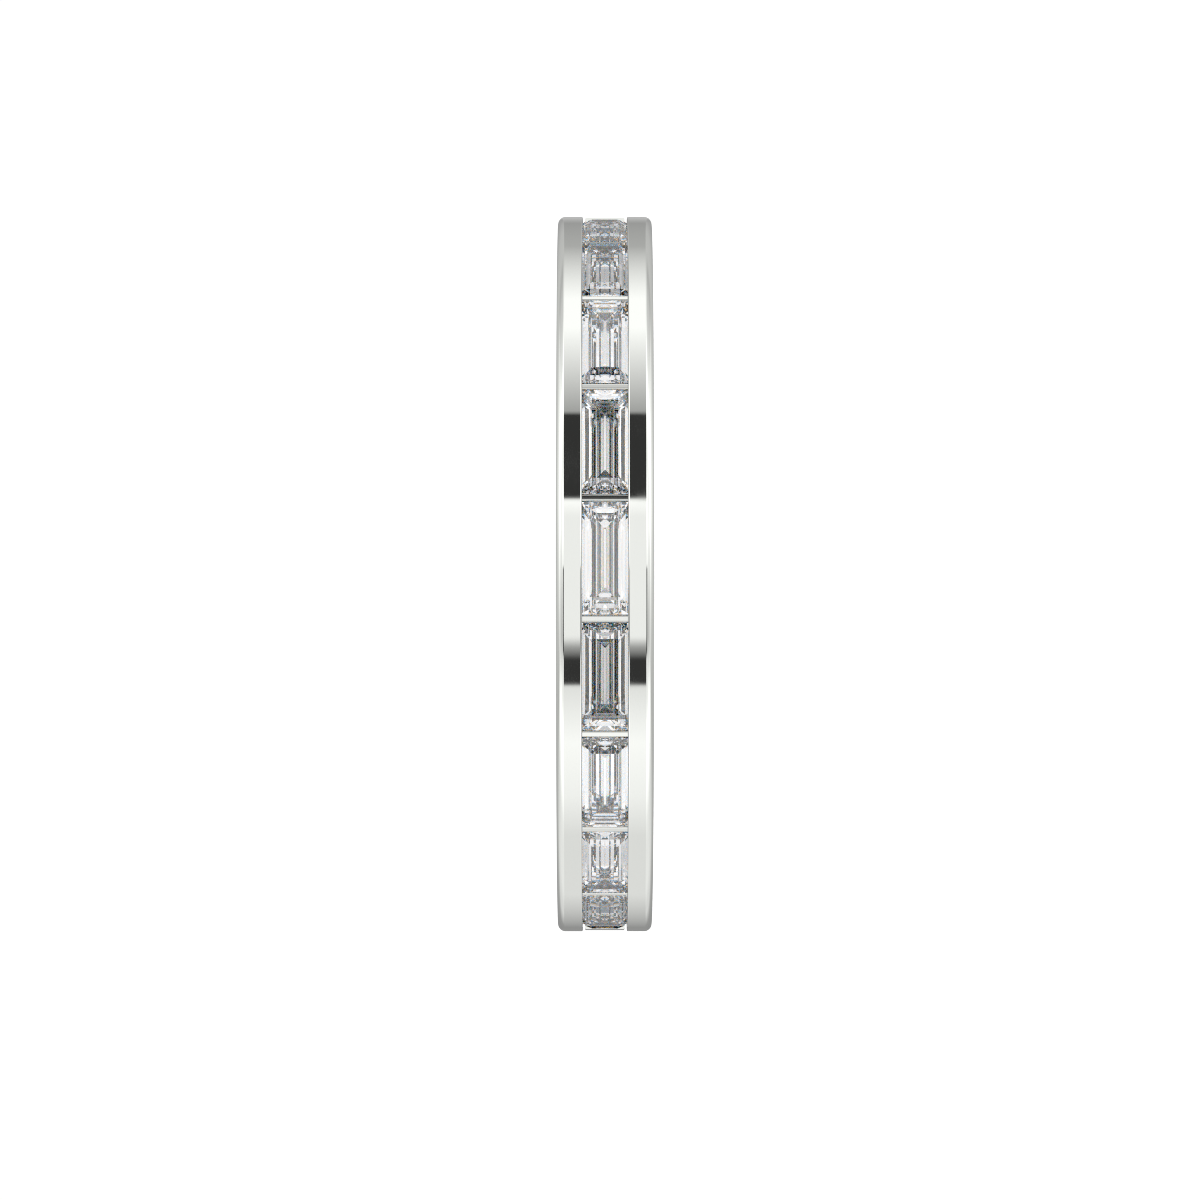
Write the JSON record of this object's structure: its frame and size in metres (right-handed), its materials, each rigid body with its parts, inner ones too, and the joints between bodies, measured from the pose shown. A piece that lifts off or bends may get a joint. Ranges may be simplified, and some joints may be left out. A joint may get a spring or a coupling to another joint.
{
  "type": "baguette half eternity ring",
  "caption": "Polished white-metal finger ring with nine step-cut baguette stones set end to end in a channel over its front half, parted by thin cross bars, and a plain back.",
  "frame": {"origin": "on the ring axis, at the level of the side face that the ring lies on", "axes": "+Z along the ring axis, up from the side face it rests on; -Y towards the middle of the fifth stone, at the front of the ring"},
  "size_m": [0.02, 0.02, 0.0026],
  "materials": {
    "white_metal": "polished",
    "diamond": "polished"
  },
  "bodies": {
    "root": {"band": "white_metal", "baguette_01": "diamond", "baguette_02": "diamond", "baguette_03": "diamond", "baguette_04": "diamond", "baguette_05": "diamond", "baguette_06": "diamond", "baguette_07": "diamond", "baguette_08": "diamond", "baguette_09": "diamond"}
  },
  "joints": []
}
